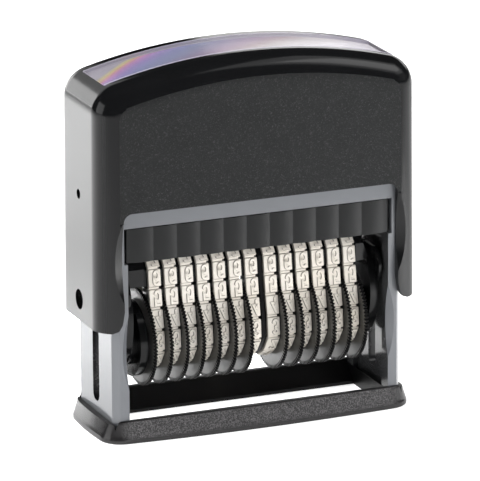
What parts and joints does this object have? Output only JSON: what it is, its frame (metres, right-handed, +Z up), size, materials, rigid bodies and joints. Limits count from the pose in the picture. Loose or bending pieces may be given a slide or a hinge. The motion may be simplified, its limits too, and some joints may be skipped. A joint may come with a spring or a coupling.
{
  "type": "numbering machine",
  "caption": "Hand-pressed self-inking numbering stamp: sliding cap over a legged frame, flipping print unit with rotating number bands and toothed setting wheels, pull-out ink cartridge.",
  "frame": {"origin": "centre of the underside of the base foot", "axes": "+X to the right along the row of bands, -Y to the front face, +Z up, against the pressing direction"},
  "size_m": [0.0724, 0.027, 0.0807],
  "materials": {
    "black_base": "textured front and rear, polished ends",
    "grey_frame": "satin",
    "black_cap": "polished, with a fine textured panel front and rear",
    "clear_cover": "clear, faintly iridescent",
    "card": "matte card",
    "charcoal_tray": "satin",
    "ink_foam": "ink-soaked foam",
    "spring_steel": "drawn wire",
    "black_unit": "polished",
    "axle_steel": "ground rod",
    "wheel_black": "satin",
    "band_rubber": "matte off-white rubber"
  },
  "bodies": {
    "frame_body": {"base_foot": "black_base", "frame": "grey_frame", "return_spring_left": "spring_steel", "return_spring_right": "spring_steel"},
    "cap": {"cap_shell": "black_cap", "index_window": "clear_cover", "index_card": "card"},
    "cartridge": {"ink_cartridge": "charcoal_tray", "ink_pad": "ink_foam"},
    "print_unit": {"side_plate_left": "black_unit", "side_plate_right": "black_unit", "platen_bar": "black_unit", "centre_divider": "black_unit", "wheel_axle": "axle_steel", "number_band_01": "band_rubber", "number_band_02": "band_rubber", "number_band_03": "band_rubber", "number_band_04": "band_rubber", "number_band_05": "band_rubber", "number_band_06": "band_rubber", "number_band_07": "band_rubber", "number_band_08": "band_rubber", "number_band_09": "band_rubber", "number_band_10": "band_rubber", "number_band_11": "band_rubber", "number_band_12": "band_rubber", "number_band_13": "band_rubber"},
    "wheel_01": {"number_wheel_01": "wheel_black"},
    "wheel_02": {"number_wheel_02": "wheel_black"},
    "wheel_03": {"number_wheel_03": "wheel_black"},
    "wheel_04": {"number_wheel_04": "wheel_black"},
    "wheel_05": {"number_wheel_05": "wheel_black"},
    "wheel_06": {"number_wheel_06": "wheel_black"},
    "wheel_07": {"number_wheel_07": "wheel_black"},
    "wheel_08": {"number_wheel_08": "wheel_black"},
    "wheel_09": {"number_wheel_09": "wheel_black"},
    "wheel_10": {"number_wheel_10": "wheel_black"},
    "wheel_11": {"number_wheel_11": "wheel_black"},
    "wheel_12": {"number_wheel_12": "wheel_black"},
    "wheel_13": {"number_wheel_13": "wheel_black"}
  },
  "joints": [
    {"name": "cap_press", "type": "slide", "parent": "frame_body", "child": "cap", "axis": [0, 0, -1], "range_m": [0, 0.0194], "stiffness_N_per_m": 600, "springref_m": -0.02, "deforming": ["return_spring_left", "return_spring_right"]},
    {"name": "unit_flip", "type": "hinge", "parent": "cap", "child": "print_unit", "pos_m": [0, 0, 0.029], "axis": [1, 0, 0], "range_deg": [0, 180.5]},
    {"name": "cartridge_slide", "type": "slide", "parent": "frame_body", "child": "cartridge", "axis": [0, 1, 0], "range_m": [-0.022, 0]},
    {"name": "wheel_spin_01", "type": "hinge", "parent": "print_unit", "child": "wheel_01", "pos_m": [0, 0, 0.01923], "axis": [1, 0, 0], "continuous": true},
    {"name": "wheel_spin_02", "type": "hinge", "parent": "print_unit", "child": "wheel_02", "pos_m": [0, 0, 0.01923], "axis": [1, 0, 0], "continuous": true},
    {"name": "wheel_spin_03", "type": "hinge", "parent": "print_unit", "child": "wheel_03", "pos_m": [0, 0, 0.01923], "axis": [1, 0, 0], "continuous": true},
    {"name": "wheel_spin_04", "type": "hinge", "parent": "print_unit", "child": "wheel_04", "pos_m": [0, 0, 0.01923], "axis": [1, 0, 0], "continuous": true},
    {"name": "wheel_spin_05", "type": "hinge", "parent": "print_unit", "child": "wheel_05", "pos_m": [0, 0, 0.01923], "axis": [1, 0, 0], "continuous": true},
    {"name": "wheel_spin_06", "type": "hinge", "parent": "print_unit", "child": "wheel_06", "pos_m": [0, 0, 0.01923], "axis": [1, 0, 0], "continuous": true},
    {"name": "wheel_spin_07", "type": "hinge", "parent": "print_unit", "child": "wheel_07", "pos_m": [0, 0, 0.01923], "axis": [1, 0, 0], "continuous": true},
    {"name": "wheel_spin_08", "type": "hinge", "parent": "print_unit", "child": "wheel_08", "pos_m": [0, 0, 0.01923], "axis": [1, 0, 0], "continuous": true},
    {"name": "wheel_spin_09", "type": "hinge", "parent": "print_unit", "child": "wheel_09", "pos_m": [0, 0, 0.01923], "axis": [1, 0, 0], "continuous": true},
    {"name": "wheel_spin_10", "type": "hinge", "parent": "print_unit", "child": "wheel_10", "pos_m": [0, 0, 0.01923], "axis": [1, 0, 0], "continuous": true},
    {"name": "wheel_spin_11", "type": "hinge", "parent": "print_unit", "child": "wheel_11", "pos_m": [0, 0, 0.01923], "axis": [1, 0, 0], "continuous": true},
    {"name": "wheel_spin_12", "type": "hinge", "parent": "print_unit", "child": "wheel_12", "pos_m": [0, 0, 0.01923], "axis": [1, 0, 0], "continuous": true},
    {"name": "wheel_spin_13", "type": "hinge", "parent": "print_unit", "child": "wheel_13", "pos_m": [0, 0, 0.01923], "axis": [1, 0, 0], "continuous": true}
  ],
  "couplings": [
    {"joint": "unit_flip", "follows": "cap_press", "rad_per_m": 161.94}
  ]
}
